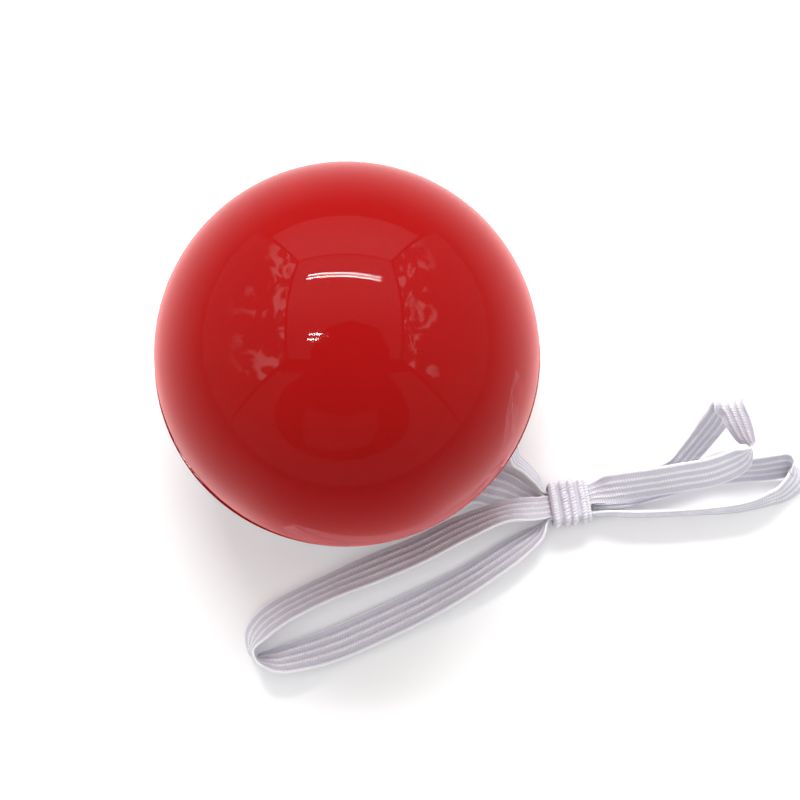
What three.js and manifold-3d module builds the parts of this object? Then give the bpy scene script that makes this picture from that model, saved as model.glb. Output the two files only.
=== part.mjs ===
// Clown nose: a hollow ball in two moulded halves, open at the back for the wearer's nose, on one elastic strap.
// Millimetres. +Z points out of the front of the nose, and the rear opening's rim lies in the plane z = 0.
// The strap lies as it was left: folded into two loops, with a small band of elastic wound round the four strands.

import * as THREE from "three";
import { mergeVertices } from "three/addons/utils/BufferGeometryUtils.js";
import Module from "manifold-3d";

const wasm = await Module();
wasm.setup();

// Ball
const BALL_RADIUS = 25;
const WALL = 1.2;
const CENTRE_HEIGHT = 19.2;
const SEAM_DROP = 1.3;
const SEAM_HEIGHT = CENTRE_HEIGHT - SEAM_DROP;
const BORE_RADIUS = BALL_RADIUS - WALL;
const AROUND = 60;
const ARC_STEPS = 14;

// Locating lip inside the front half, which sits in the rear half
const LIP_DEPTH = 2;
const LIP_ROOT = 1.5;
const LIP_WALL = 0.9;
const LIP_PLAY = 0.15;

// Strap holes: two, opposite each other, below the equator
const HOLE_DIAMETER = 3.6;
const HOLE_TURN = -20;
const HOLE_DIP = 30;

// Elastic strap
const STRAP_WIDTH = 5;
const STRAP_THICKNESS = 0.9;
const STRAP_STEPS = 2;

// End knots, each inside the ball behind its hole
const KNOT_RADIUS = 2.2;
const KNOT_GAP = 0.3;

// Wound band
const WRAP_CENTRE = [29.5, -17.1, 2.6];
const WRAP_TURN = 8;
const WRAP_LENGTH = 5.2;
const WRAP_WALL = 0.5;
const WRAP_INSIDE_WIDTH = 4.7;
const WRAP_INSIDE_HEIGHT = 3.8;
const WRAP_CORNER = 0.8;

// The strap's route, from the knot in the right hole to the knot in the left one.
// x, y, z of its middle, then the direction of its width (degrees round Z, degrees up) and its share of the width.
const ROUTE = [
  [19.4, -7.1, 7.25, -150, 45, 0.52], // right hole inside
  [21.3, -7.8, 6.10, -150, 52, 0.55], // right hole outside
  [22.3, -11.2, 3.70, -124, 57, 0.78], // right strand leaves the ball
  [23.7, -12.4, 3.00, -131, 64, 0.8], // right strand
  [25.2, -13.9, 2.40, -122, 64, 0.62], // right strand near the band
  [26.3, -15.7, 2.10, -82, 86, 0.5], // band, far side in
  [29.2, -15.3, 2.07, -82, 90, 0.5], // band, far side middle
  [32.2, -14.9, 2.10, -82, 90, 0.5], // band, far side out
  [36.4, -14.3, 2.45, 108, 86, 0.75], // back strand hidden 1
  [40.5, -13.5, 2.75, 128, 70, 0.95], // back strand hidden 2
  [43.8, -12.2, 2.80, 162, 57, 1.0], // back strand hidden 3
  [46.2, -9.7, 2.90, 156, 53, 1.0], // back strand shows
  [48.3, -7.2, 4.30, 155, 51, 1.0], // back strand climbs
  [49.6, -5.5, 6.70, 167, 54, 1.0], // apex below
  [50.6, -4.5, 9.00, -176, -2, 0.92], // apex
  [50.8, -5.2, 9.60, 177, -42, 1], // inner stretch 1
  [51.7, -7.2, 9.40, -175, -50, 1], // inner stretch 2
  [52.6, -9.0, 8.90, -166, -64, 1], // inner stretch 3
  [53.3, -10.3, 8.60, -110, -79, 1], // turn
  [52.1, -12.0, 8.20, -75, -55, 1], // front strand 1
  [48.5, -13.6, 7.80, -68, -49, 1], // front strand 2
  [44.5, -14.3, 7.30, -71, -49, 1], // front strand 3
  [40.1, -14.9, 6.50, -67, -49, 1], // front strand 4
  [35.7, -15.5, 5.60, -71, -40, 0.92], // front strand 5
  [32.5, -16.0, 3.88, -82, -3, 0.56], // band, top layer in
  [26.6, -17.8, 3.88, -82, 1, 0.6], // band, top layer out
  [21.0, -18.5, 4.30, -71, 41, 0.85], // left upper 1
  [15.4, -20.6, 4.20, -69, 41, 1.0], // left upper 2
  [9.6, -23.5, 4.00, -71, 37, 1.0], // left upper 3
  [3.8, -25.9, 3.80, -72, 33, 1.0], // left upper 4
  [-2.0, -28.3, 3.50, -69, 41, 1.0], // left upper 5
  [-7.5, -30.9, 3.15, -58, 41, 1.0], // left upper 6
  [-10.5, -32.8, 2.90, -58, 40, 1.0], // left upper 7
  [-12.3, -34.8, 2.80, -53, 48, 1.0], // left turn 1
  [-12.8, -36.7, 2.65, -50, 70, 1], // left turn 2
  [-12.1, -38.0, 2.62, -64, 70, 1], // left turn 3
  [-10.5, -38.2, 2.25, -80, 52, 1], // left lower 1
  [-8.2, -37.9, 2.00, -83, 35, 1.0], // left lower 2
  [-2.1, -36.0, 1.35, -75, 19, 1.0], // left lower 3
  [4.1, -33.3, 1.25, -67, 17, 1.0], // left lower 4
  [10.0, -30.5, 1.45, -62, 23, 1.0], // left lower 5
  [15.9, -27.3, 1.75, -57, 33, 1.0], // left lower 6
  [21.6, -23.6, 2.00, -56, 37, 0.95], // left lower 7
  [25.0, -21.2, 2.15, -57, 46, 0.72], // left lower 8
  [26.8, -19.3, 2.10, -82, 84, 0.5], // band, near side in
  [29.8, -18.9, 2.10, -82, 90, 0.5], // band, near side middle
  [32.8, -18.5, 2.15, -82, 90, 0.52], // band, near side out
  [35.2, -18.5, 2.50, -82, 90, 0.88], // right low 1
  [39.0, -18.6, 2.60, -87, 90, 1], // right low 2
  [45.6, -18.3, 2.60, 150, 89, 1], // right low 3
  [51.7, -17.8, 2.62, 147, 82, 1.0], // right low 4
  [54.4, -17.2, 2.62, 159, 77, 1.0], // right low 5
  [56.4, -16.5, 2.62, 160, 69, 1.0], // right low 6
  [57.9, -15.9, 2.60, 158, 63, 1.0], // right low 7
  [59.1, -15.0, 2.60, 157, 58, 1.0], // right end 1
  [60.1, -13.8, 2.60, 158, 53, 1.0], // right end 2
  [60.0, -12.8, 2.60, 157, 53, 1.0], // right end 3
  [59.3, -11.9, 2.60, 144, 53, 1.0], // right far 1
  [57.7, -12.1, 2.60, 126, 54, 1.0], // right far 2
  [55.6, -12.4, 2.50, 107, 58, 1.0], // right far 3
  [52.4, -12.7, 2.45, 103, 62, 1.0], // right far 4
  [47.6, -13.5, 2.40, 95, 62, 0.95], // right far 5
  [43.6, -14.8, 2.30, 97, 68, 0.84], // right far 6
  [39.8, -15.8, 2.00, 99, 58, 0.6], // right far 7
  [36.2, -16.5, 1.50, 98, 14, 0.46], // right far 8
  [32.6, -16.7, 1.33, 98, 0, 0.46], // band, lowest layer in
  [26.4, -17.5, 1.30, 98, 0, 0.46], // band, lowest layer out
  [23.6, -16.4, 1.50, 78, 8, 0.72], // left strand near the band
  [20.2, -15.1, 1.70, 64, 10, 1], // left strand
  [16.4, -14.6, 1.60, 84, -4, 1], // left strand goes under the ball
  [11.6, -16.9, 1.50, 114, -14, 1], // round the rim 1
  [5.0, -19.6, 1.75, 104, -28, 1], // round the rim 2
  [-3.0, -20.3, 1.85, 82, -34, 1], // round the rim 3
  [-10.9, -17.4, 1.90, 58, -34, 1], // round the rim 4
  [-16.9, -11.7, 2.05, 35, -38, 1], // round the rim 5
  [-20.2, -4.6, 2.30, 12, -50, 1], // round the rim 6
  [-21.9, 2.0, 3.30, -6, -62, 1], // round the rim 7
  [-22.9, 6.3, 4.90, -14, -66, 0.8], // left strand rises
  [-21.3, 7.8, 6.10, -20, -60, 0.55], // left hole outside
  [-19.4, 7.1, 7.25, -20, -60, 0.52], // left hole inside
];

const RED = 0xc81a1a;
const WHITE = 0xe9e6ee;

const radians = (degrees) => (degrees * Math.PI) / 180;

// A closed body of a geometry, with its repeated corners joined.
function solid(geometry) {
  const bare = new THREE.BufferGeometry();
  bare.setAttribute("position", geometry.getAttribute("position"));
  bare.setIndex(geometry.getIndex());
  const merged = mergeVertices(bare, 1e-4);
  const index = merged.getIndex().array;
  const faces = [];
  for (let i = 0; i < index.length; i += 3) {
    const [a, b, c] = index.subarray(i, i + 3);
    if (a !== b && b !== c && c !== a) faces.push(a, b, c);
  }
  const mesh = new wasm.Mesh({
    numProp: 3,
    vertProperties: merged.getAttribute("position").array,
    triVerts: new Uint32Array(faces),
  });
  return new wasm.Manifold(mesh);
}

// A named mesh of a solid.
function meshOf(name, body, colour, roughness) {
  const made = body.getMesh();
  const geometry = new THREE.BufferGeometry();
  geometry.setAttribute("position", new THREE.BufferAttribute(made.vertProperties, 3));
  geometry.setIndex(new THREE.BufferAttribute(made.triVerts, 1));
  geometry.computeVertexNormals();
  const material = new THREE.MeshStandardMaterial({ color: colour, roughness });
  const mesh = new THREE.Mesh(geometry, material);
  mesh.name = name;
  return mesh;
}

// A body turned about Z from a profile of [radius, height] points closed on itself.
function turned(profile) {
  const points = [...profile, profile[0]].map(([r, z]) => new THREE.Vector2(r, z));
  const geometry = new THREE.LatheGeometry(points, AROUND);
  return solid(geometry.rotateX(Math.PI / 2));
}

// Points on a sphere about the ball's centre, from one height to another.
function sphereArc(radius, fromHeight, toHeight, steps) {
  const angleAt = (height) => Math.asin(THREE.MathUtils.clamp((height - CENTRE_HEIGHT) / radius, -1, 1));
  const from = angleAt(fromHeight);
  const to = angleAt(toHeight);
  return Array.from({ length: steps + 1 }, (_, i) => {
    const angle = from + ((to - from) * i) / steps;
    return [Math.max(0, radius * Math.cos(angle)), CENTRE_HEIGHT + radius * Math.sin(angle)];
  });
}

// Radius of a sphere about the ball's centre at a height.
const radiusAt = (radius, height) => Math.sqrt(radius ** 2 - (height - CENTRE_HEIGHT) ** 2);

// Front half: the dome down to the seam, with the lip inside it.
function frontShell() {
  const lipEnd = SEAM_HEIGHT - LIP_DEPTH;
  const lipOuter = radiusAt(BORE_RADIUS, lipEnd) - LIP_PLAY;
  const lipInner = lipOuter - LIP_WALL;
  const outside = sphereArc(BALL_RADIUS, SEAM_HEIGHT, CENTRE_HEIGHT + BALL_RADIUS, ARC_STEPS);
  const inside = sphereArc(BORE_RADIUS, CENTRE_HEIGHT + BORE_RADIUS, SEAM_HEIGHT + 2 * LIP_ROOT, ARC_STEPS);
  return turned([
    ...outside,
    ...inside,
    [lipInner, SEAM_HEIGHT + LIP_ROOT],
    [lipInner, lipEnd],
    [lipOuter, lipEnd],
    [lipOuter, SEAM_HEIGHT],
  ]);
}

// Unit direction of a strap hole from the ball's centre.
function holeDirection(turn) {
  const flat = Math.cos(radians(HOLE_DIP));
  const round = radians(turn);
  return new THREE.Vector3(flat * Math.cos(round), flat * Math.sin(round), -Math.sin(radians(HOLE_DIP)));
}

// A point on a hole's axis, at a distance from the ball's centre.
function onHoleAxis(turn, distance) {
  return holeDirection(turn).multiplyScalar(distance).add(new THREE.Vector3(0, 0, CENTRE_HEIGHT));
}

// The drill of one strap hole.
function holeDrill(turn) {
  const drill = new THREE.CylinderGeometry(HOLE_DIAMETER / 2, HOLE_DIAMETER / 2, 4 * WALL, 24);
  const middle = onHoleAxis(turn, BALL_RADIUS - WALL / 2);
  const lean = new THREE.Quaternion().setFromUnitVectors(new THREE.Vector3(0, 1, 0), holeDirection(turn));
  return solid(drill.applyQuaternion(lean).translate(middle.x, middle.y, middle.z));
}

// Rear half: from the rim of the opening up to the seam, drilled for the strap.
function rearShell() {
  const outside = sphereArc(BALL_RADIUS, 0, SEAM_HEIGHT, ARC_STEPS);
  const inside = sphereArc(BORE_RADIUS, SEAM_HEIGHT, 0, ARC_STEPS);
  return turned([...outside, ...inside])
    .subtract(holeDrill(HOLE_TURN))
    .subtract(holeDrill(HOLE_TURN + 180));
}

// The unit direction of a strap's width at a row.
function widthDirection(across, rise) {
  const flat = Math.cos(radians(rise));
  return [flat * Math.cos(radians(across)), flat * Math.sin(radians(across)), Math.sin(radians(rise))];
}

// Rows of the route made finer: a smooth curve through every column.
function smoothRows(rows, steps) {
  const at = [0];
  for (let i = 1; i < rows.length; i++) {
    at.push(at[i - 1] + Math.hypot(...[0, 1, 2].map((c) => rows[i][c] - rows[i - 1][c])));
  }
  const slope = rows.map((row, i) => {
    const a = Math.max(0, i - 1);
    const b = Math.min(rows.length - 1, i + 1);
    return row.map((_, c) => (rows[b][c] - rows[a][c]) / (at[b] - at[a]));
  });
  const fine = [];
  for (let i = 0; i < rows.length - 1; i++) {
    const h = at[i + 1] - at[i];
    for (let s = 0; s < steps; s++) {
      const x = s / steps;
      const start = 2 * x ** 3 - 3 * x ** 2 + 1;
      const leave = (x ** 3 - 2 * x ** 2 + x) * h;
      const arrive = (x ** 3 - x ** 2) * h;
      fine.push(rows[i].map((value, c) => (
        start * value + leave * slope[i][c] + (1 - start) * rows[i + 1][c] + arrive * slope[i + 1][c]
      )));
    }
  }
  fine.push(rows[rows.length - 1]);
  return fine;
}

// Corners of the strap's flat section with eased edges, as shares of half its width and half its thickness.
const EASED = [
  [-1, -0.4], [-0.86, -1], [0.86, -1], [1, -0.4],
  [1, 0.4], [0.86, 1], [-0.86, 1], [-1, 0.4],
];

// The elastic strap, a ribbon along the route.
function elasticStrap() {
  const rows = ROUTE.map(([x, y, z, across, rise, share]) => [x, y, z, ...widthDirection(across, rise), share]);
  const fine = smoothRows(rows, STRAP_STEPS);
  const corners = [];
  fine.forEach(([x, y, z, wx, wy, wz, share], i) => {
    const before = fine[Math.max(0, i - 1)];
    const after = fine[Math.min(fine.length - 1, i + 1)];
    const along = new THREE.Vector3(after[0] - before[0], after[1] - before[1], after[2] - before[2]).normalize();
    const wide = new THREE.Vector3(wx, wy, wz);
    wide.addScaledVector(along, -wide.dot(along)).normalize();
    const thick = new THREE.Vector3().crossVectors(along, wide);
    EASED.forEach(([a, b]) => {
      const p = new THREE.Vector3(x, y, z)
        .addScaledVector(wide, (a * STRAP_WIDTH * share) / 2)
        .addScaledVector(thick, (b * STRAP_THICKNESS) / 2);
      corners.push(p.x, p.y, p.z);
    });
  });
  return solid(loft(corners, fine.length, EASED.length));
}

// A closed skin over rings of corners, with flat ends.
function loft(corners, rings, sides) {
  const faces = [];
  for (let i = 0; i < rings - 1; i++) {
    for (let j = 0; j < sides; j++) {
      const a = i * sides + j;
      const b = i * sides + ((j + 1) % sides);
      faces.push(a, b, b + sides, a, b + sides, a + sides);
    }
  }
  const last = (rings - 1) * sides;
  for (let j = 1; j < sides - 1; j++) {
    faces.push(0, j + 1, j);
    faces.push(last, last + j, last + j + 1);
  }
  const geometry = new THREE.BufferGeometry();
  geometry.setAttribute("position", new THREE.Float32BufferAttribute(corners, 3));
  geometry.setIndex(faces);
  return geometry;
}

// A rectangle with round corners about the origin.
function roundedRectangle(path, width, height, corner) {
  const x = width / 2 - corner;
  const y = height / 2 - corner;
  path.moveTo(x, -height / 2);
  path.absarc(x, -y, corner, -Math.PI / 2, 0);
  path.absarc(x, y, corner, 0, Math.PI / 2);
  path.absarc(-x, y, corner, Math.PI / 2, Math.PI);
  path.absarc(-x, -y, corner, Math.PI, 1.5 * Math.PI);
  return path;
}

// The band wound round the four strands: a short sleeve with rounded corners.
function strapWrap() {
  const width = WRAP_INSIDE_WIDTH + 2 * WRAP_WALL;
  const height = WRAP_INSIDE_HEIGHT + 2 * WRAP_WALL;
  const shape = roundedRectangle(new THREE.Shape(), width, height, WRAP_CORNER);
  const inner = roundedRectangle(new THREE.Path(), WRAP_INSIDE_WIDTH, WRAP_INSIDE_HEIGHT, WRAP_CORNER - WRAP_WALL);
  shape.holes.push(inner);
  const sleeve = new THREE.ExtrudeGeometry(shape, { depth: WRAP_LENGTH, bevelEnabled: false, curveSegments: 5 });
  sleeve.translate(0, 0, -WRAP_LENGTH / 2).rotateX(Math.PI / 2).rotateZ(Math.PI / 2);
  sleeve.rotateZ(radians(WRAP_TURN)).translate(...WRAP_CENTRE);
  return solid(sleeve);
}

// A knot at the strap's end, inside the ball behind its hole.
function strapEndKnot(turn) {
  const middle = onHoleAxis(turn, BORE_RADIUS - KNOT_GAP - KNOT_RADIUS);
  const knot = new THREE.SphereGeometry(KNOT_RADIUS, 20, 12);
  return solid(knot.translate(middle.x, middle.y, middle.z));
}

const part = new THREE.Group();
part.name = "clown_nose";
part.add(
  meshOf("front_shell", frontShell(), RED, 0.2),
  meshOf("rear_shell", rearShell(), RED, 0.2),
  meshOf("elastic_strap", elasticStrap(), WHITE, 0.8),
  meshOf("strap_wrap", strapWrap(), WHITE, 0.8),
  meshOf("strap_end_knot_right", strapEndKnot(HOLE_TURN), WHITE, 0.8),
  meshOf("strap_end_knot_left", strapEndKnot(HOLE_TURN + 180), WHITE, 0.8),
);

export default part;
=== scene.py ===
# %% [markdown]
# # A clown nose on an elastic strap
# The real object is a hollow ball of glossy red plastic in two halves, open at the back.
# A flat white elastic goes through two small holes in it, and somebody has folded the slack
# into two loops and wound a short band of the same elastic round them.
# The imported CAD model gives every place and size, so the script loads it first, and all
# lengths below are in metres in that same frame: +Z comes out of the front of the nose.

# %% Load the frame
import math
import bpy
import numpy as np
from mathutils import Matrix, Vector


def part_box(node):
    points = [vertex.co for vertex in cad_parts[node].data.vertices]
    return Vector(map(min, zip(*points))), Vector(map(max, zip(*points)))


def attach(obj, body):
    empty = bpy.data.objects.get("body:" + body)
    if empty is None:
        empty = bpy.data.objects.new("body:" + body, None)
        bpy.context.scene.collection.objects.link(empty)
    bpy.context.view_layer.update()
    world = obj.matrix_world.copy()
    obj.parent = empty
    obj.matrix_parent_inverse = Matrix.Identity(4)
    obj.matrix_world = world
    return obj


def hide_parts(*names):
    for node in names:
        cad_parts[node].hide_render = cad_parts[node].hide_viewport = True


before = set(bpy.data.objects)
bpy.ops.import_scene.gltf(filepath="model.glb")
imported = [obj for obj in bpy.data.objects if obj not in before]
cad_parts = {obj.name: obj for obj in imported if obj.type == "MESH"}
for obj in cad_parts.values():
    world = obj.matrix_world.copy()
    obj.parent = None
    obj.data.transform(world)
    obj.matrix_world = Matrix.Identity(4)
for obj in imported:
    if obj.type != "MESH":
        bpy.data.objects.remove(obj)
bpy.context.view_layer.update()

# %% [markdown]
# The ball's driving sizes repeat the CAD. The top of the dome and the height of the seam
# come from the frame, and the ball's centre lies one radius under the top.

# %% Driving sizes
MM = 0.001
BALL_RADIUS = 25 * MM
WALL = 1.2 * MM
dome_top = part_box("front_shell")[1][2]
seam_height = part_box("rear_shell")[1][2]
BALL_CENTRE = np.array([0.0, 0.0, dome_top - BALL_RADIUS])
print("ball centre", BALL_CENTRE, "seam height", seam_height)

# %% [markdown]
# The photograph looks down on the nose from 80 degrees, with a long lens. The camera sits
# where the ball gets its place and size in the picture, so it needs no shift: the aim
# point is moved sideways by the number of pixels that the ball lies off the middle.

# %% Camera
PHOTO_SIDE = 800
BALL_PIXEL = (346.9, 354.2)
BALL_PIXEL_RADIUS = 192.85
CAMERA_ELEVATION = math.radians(80)
CAMERA_DISTANCE = 450 * MM
SENSOR = 36.0
CLIP_START = 10 * MM

focal_pixels = BALL_PIXEL_RADIUS / BALL_RADIUS * math.sqrt(CAMERA_DISTANCE ** 2 - BALL_RADIUS ** 2)
view_right = np.array([1.0, 0.0, 0.0])
view_up = np.array([0.0, math.sin(CAMERA_ELEVATION), math.cos(CAMERA_ELEVATION)])
view_back = np.array([0.0, -math.cos(CAMERA_ELEVATION), math.sin(CAMERA_ELEVATION)])
aim = BALL_CENTRE - view_right * (BALL_PIXEL[0] - PHOTO_SIDE / 2) / focal_pixels * CAMERA_DISTANCE
aim = aim + view_up * (BALL_PIXEL[1] - PHOTO_SIDE / 2) / focal_pixels * CAMERA_DISTANCE
camera_place = aim + view_back * CAMERA_DISTANCE

camera_data = bpy.data.cameras.new("camera")
camera_data.sensor_width = SENSOR
camera_data.lens = focal_pixels * SENSOR / PHOTO_SIDE
camera_data.clip_start = CLIP_START
camera = bpy.data.objects.new("camera", camera_data)
camera.location = camera_place
camera.rotation_euler = (math.pi / 2 - CAMERA_ELEVATION, 0, 0)
bpy.context.scene.collection.objects.link(camera)
bpy.context.scene.camera = camera
print("camera at", camera_place, "lens", camera_data.lens)

# %% [markdown]
# ## Skins
# A turned shell, a folded ribbon and a wound ring are all rows of points with a skin over
# them, where each row is a closed loop. Modifiers or bevelled curves could make some of
# them, but a written grid keeps every point where the CAD has it. It can also keep a pair
# of surface measures, in millimetres, that the materials read later.


# %% Skin helper
def skin(name, grid, close_rows=False, caps=False, measures=None):
    """A mesh over rows of points. The last row is joined to the first if the rows close."""
    rows, columns = grid.shape[:2]
    vertices = grid.reshape(-1, 3)
    faces = []
    for i in range(rows if close_rows else rows - 1):
        for j in range(columns):
            i2, j2 = (i + 1) % rows, (j + 1) % columns
            faces.append((i * columns + j, i * columns + j2, i2 * columns + j2, i2 * columns + j))
    if caps:
        faces.append(tuple(range(columns))[::-1])
        faces.append(tuple((rows - 1) * columns + j for j in range(columns)))
    mesh = bpy.data.meshes.new(name)
    mesh.from_pydata([tuple(v) for v in vertices], [], faces)
    mesh.polygons.foreach_set("use_smooth", [True] * len(mesh.polygons))
    if measures is not None:
        layer = mesh.uv_layers.new(name="measures")
        corners = np.empty(len(mesh.loops), dtype=np.int32)
        mesh.loops.foreach_get("vertex_index", corners)
        layer.data.foreach_set("uv", measures.reshape(-1, 2)[corners].ravel())
    mesh.update()
    piece = bpy.data.objects.new(name, mesh)
    bpy.context.scene.collection.objects.link(piece)
    print(name, len(mesh.vertices), "vertices", len(mesh.polygons), "faces")
    return piece


# %% [markdown]
# ## The elastic's route
# The elastic is one flat ribbon, 5 mm wide and about 0.31 m long, from the knot in the
# right hole to the knot in the left one. A curve with a flat bevel could make it, but its
# twist is hard to steer through so many folds. So each row, the same as in the CAD and in
# metres, has the middle of the ribbon, the direction of its width (degrees round Z, then
# degrees up) and the share of its width that is left where it is squeezed.

# %% Route rows
ROUTE = [
    (0.0194, -0.0071, 0.00725, -150, 45, 0.52),  # right hole inside
    (0.0213, -0.0078, 0.00610, -150, 52, 0.55),  # right hole outside
    (0.0223, -0.0112, 0.00370, -124, 57, 0.78),  # right strand leaves the ball
    (0.0237, -0.0124, 0.00300, -131, 64, 0.8),  # right strand
    (0.0252, -0.0139, 0.00240, -122, 64, 0.62),  # right strand near the band
    (0.0263, -0.0157, 0.00210, -82, 86, 0.5),  # band, far side in
    (0.0292, -0.0153, 0.00207, -82, 90, 0.5),  # band, far side middle
    (0.0322, -0.0149, 0.00210, -82, 90, 0.5),  # band, far side out
    (0.0364, -0.0143, 0.00245, 108, 86, 0.75),  # back strand hidden 1
    (0.0405, -0.0135, 0.00275, 128, 70, 0.95),  # back strand hidden 2
    (0.0438, -0.0122, 0.00280, 162, 57, 1.0),  # back strand hidden 3
    (0.0462, -0.0097, 0.00290, 156, 53, 1.0),  # back strand shows
    (0.0483, -0.0072, 0.00430, 155, 51, 1.0),  # back strand climbs
    (0.0496, -0.0055, 0.00670, 167, 54, 1.0),  # apex below
    (0.0506, -0.0045, 0.00900, -176, -2, 0.92),  # apex
    (0.0508, -0.0052, 0.00960, 177, -42, 1),  # inner stretch 1
    (0.0517, -0.0072, 0.00940, -175, -50, 1),  # inner stretch 2
    (0.0526, -0.0090, 0.00890, -166, -64, 1),  # inner stretch 3
    (0.0533, -0.0103, 0.00860, -110, -79, 1),  # turn
    (0.0521, -0.0120, 0.00820, -75, -55, 1),  # front strand 1
    (0.0485, -0.0136, 0.00780, -68, -49, 1),  # front strand 2
    (0.0445, -0.0143, 0.00730, -71, -49, 1),  # front strand 3
    (0.0401, -0.0149, 0.00650, -67, -49, 1),  # front strand 4
    (0.0357, -0.0155, 0.00560, -71, -40, 0.92),  # front strand 5
    (0.0325, -0.0160, 0.00388, -82, -3, 0.56),  # band, top layer in
    (0.0266, -0.0178, 0.00388, -82, 1, 0.6),  # band, top layer out
    (0.0210, -0.0185, 0.00430, -71, 41, 0.85),  # left upper 1
    (0.0154, -0.0206, 0.00420, -69, 41, 1.0),  # left upper 2
    (0.0096, -0.0235, 0.00400, -71, 37, 1.0),  # left upper 3
    (0.0038, -0.0259, 0.00380, -72, 33, 1.0),  # left upper 4
    (-0.0020, -0.0283, 0.00350, -69, 41, 1.0),  # left upper 5
    (-0.0075, -0.0309, 0.00315, -58, 41, 1.0),  # left upper 6
    (-0.0105, -0.0328, 0.00290, -58, 40, 1.0),  # left upper 7
    (-0.0123, -0.0348, 0.00280, -53, 48, 1.0),  # left turn 1
    (-0.0128, -0.0367, 0.00265, -50, 70, 1),  # left turn 2
    (-0.0121, -0.0380, 0.00262, -64, 70, 1),  # left turn 3
    (-0.0105, -0.0382, 0.00225, -80, 52, 1),  # left lower 1
    (-0.0082, -0.0379, 0.00200, -83, 35, 1.0),  # left lower 2
    (-0.0021, -0.0360, 0.00135, -75, 19, 1.0),  # left lower 3
    (0.0041, -0.0333, 0.00125, -67, 17, 1.0),  # left lower 4
    (0.0100, -0.0305, 0.00145, -62, 23, 1.0),  # left lower 5
    (0.0159, -0.0273, 0.00175, -57, 33, 1.0),  # left lower 6
    (0.0216, -0.0236, 0.00200, -56, 37, 0.95),  # left lower 7
    (0.0250, -0.0212, 0.00215, -57, 46, 0.72),  # left lower 8
    (0.0268, -0.0193, 0.00210, -82, 84, 0.5),  # band, near side in
    (0.0298, -0.0189, 0.00210, -82, 90, 0.5),  # band, near side middle
    (0.0328, -0.0185, 0.00215, -82, 90, 0.52),  # band, near side out
    (0.0352, -0.0185, 0.00250, -82, 90, 0.88),  # right low 1
    (0.0390, -0.0186, 0.00260, -87, 90, 1),  # right low 2
    (0.0456, -0.0183, 0.00260, 150, 89, 1),  # right low 3
    (0.0517, -0.0178, 0.00262, 147, 82, 1.0),  # right low 4
    (0.0544, -0.0172, 0.00262, 159, 77, 1.0),  # right low 5
    (0.0564, -0.0165, 0.00262, 160, 69, 1.0),  # right low 6
    (0.0579, -0.0159, 0.00260, 158, 63, 1.0),  # right low 7
    (0.0591, -0.0150, 0.00260, 157, 58, 1.0),  # right end 1
    (0.0601, -0.0138, 0.00260, 158, 53, 1.0),  # right end 2
    (0.0600, -0.0128, 0.00260, 157, 53, 1.0),  # right end 3
    (0.0593, -0.0119, 0.00260, 144, 53, 1.0),  # right far 1
    (0.0577, -0.0121, 0.00260, 126, 54, 1.0),  # right far 2
    (0.0556, -0.0124, 0.00250, 107, 58, 1.0),  # right far 3
    (0.0524, -0.0127, 0.00245, 103, 62, 1.0),  # right far 4
    (0.0476, -0.0135, 0.00240, 95, 62, 0.95),  # right far 5
    (0.0436, -0.0148, 0.00230, 97, 68, 0.84),  # right far 6
    (0.0398, -0.0158, 0.00200, 99, 58, 0.6),  # right far 7
    (0.0362, -0.0165, 0.00150, 98, 14, 0.46),  # right far 8
    (0.0326, -0.0167, 0.00133, 98, 0, 0.46),  # band, lowest layer in
    (0.0264, -0.0175, 0.00130, 98, 0, 0.46),  # band, lowest layer out
    (0.0236, -0.0164, 0.00150, 78, 8, 0.72),  # left strand near the band
    (0.0202, -0.0151, 0.00170, 64, 10, 1),  # left strand
    (0.0164, -0.0146, 0.00160, 84, -4, 1),  # left strand goes under the ball
    (0.0116, -0.0169, 0.00150, 114, -14, 1),  # round the rim 1
    (0.0050, -0.0196, 0.00175, 104, -28, 1),  # round the rim 2
    (-0.0030, -0.0203, 0.00185, 82, -34, 1),  # round the rim 3
    (-0.0109, -0.0174, 0.00190, 58, -34, 1),  # round the rim 4
    (-0.0169, -0.0117, 0.00205, 35, -38, 1),  # round the rim 5
    (-0.0202, -0.0046, 0.00230, 12, -50, 1),  # round the rim 6
    (-0.0219, 0.0020, 0.00330, -6, -62, 1),  # round the rim 7
    (-0.0229, 0.0063, 0.00490, -14, -66, 0.8),  # left strand rises
    (-0.0213, 0.0078, 0.00610, -20, -60, 0.55),  # left hole outside
    (-0.0194, 0.0071, 0.00725, -20, -60, 0.52),  # left hole inside
]

# %% [markdown]
# A smooth curve through every column of the rows gives the ribbon any number of steps.
# The width's direction is carried as a vector and squared to the route at each step, so
# that the ribbon twists evenly and never shears.


# %% Smooth the route
def smooth_rows(rows, step):
    """Rows at even steps on a smooth curve through the given ones, whose first three columns are a place."""
    at = np.concatenate([[0], np.cumsum(np.linalg.norm(np.diff(rows[:, :3], axis=0), axis=1))])
    slope = np.empty_like(rows)
    slope[1:-1] = (rows[2:] - rows[:-2]) / (at[2:] - at[:-2])[:, None]
    slope[0] = (rows[1] - rows[0]) / at[1]
    slope[-1] = (rows[-1] - rows[-2]) / (at[-1] - at[-2])
    where = np.linspace(0, at[-1], int(at[-1] / step) + 1)
    k = np.clip(np.searchsorted(at, where, side="right") - 1, 0, len(at) - 2)
    h = (at[k + 1] - at[k])[:, None]
    x = (where - at[k])[:, None] / h
    start = 2 * x ** 3 - 3 * x ** 2 + 1
    leave = (x ** 3 - 2 * x ** 2 + x) * h
    arrive = (x ** 3 - x ** 2) * h
    return start * rows[k] + leave * slope[k] + (1 - start) * rows[k + 1] + arrive * slope[k + 1]


def width_direction(across, rise):
    """The direction of the ribbon's width, from degrees round Z and degrees up."""
    across, rise = math.radians(across), math.radians(rise)
    return [math.cos(across) * math.cos(rise), math.sin(across) * math.cos(rise), math.sin(rise)]


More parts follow.
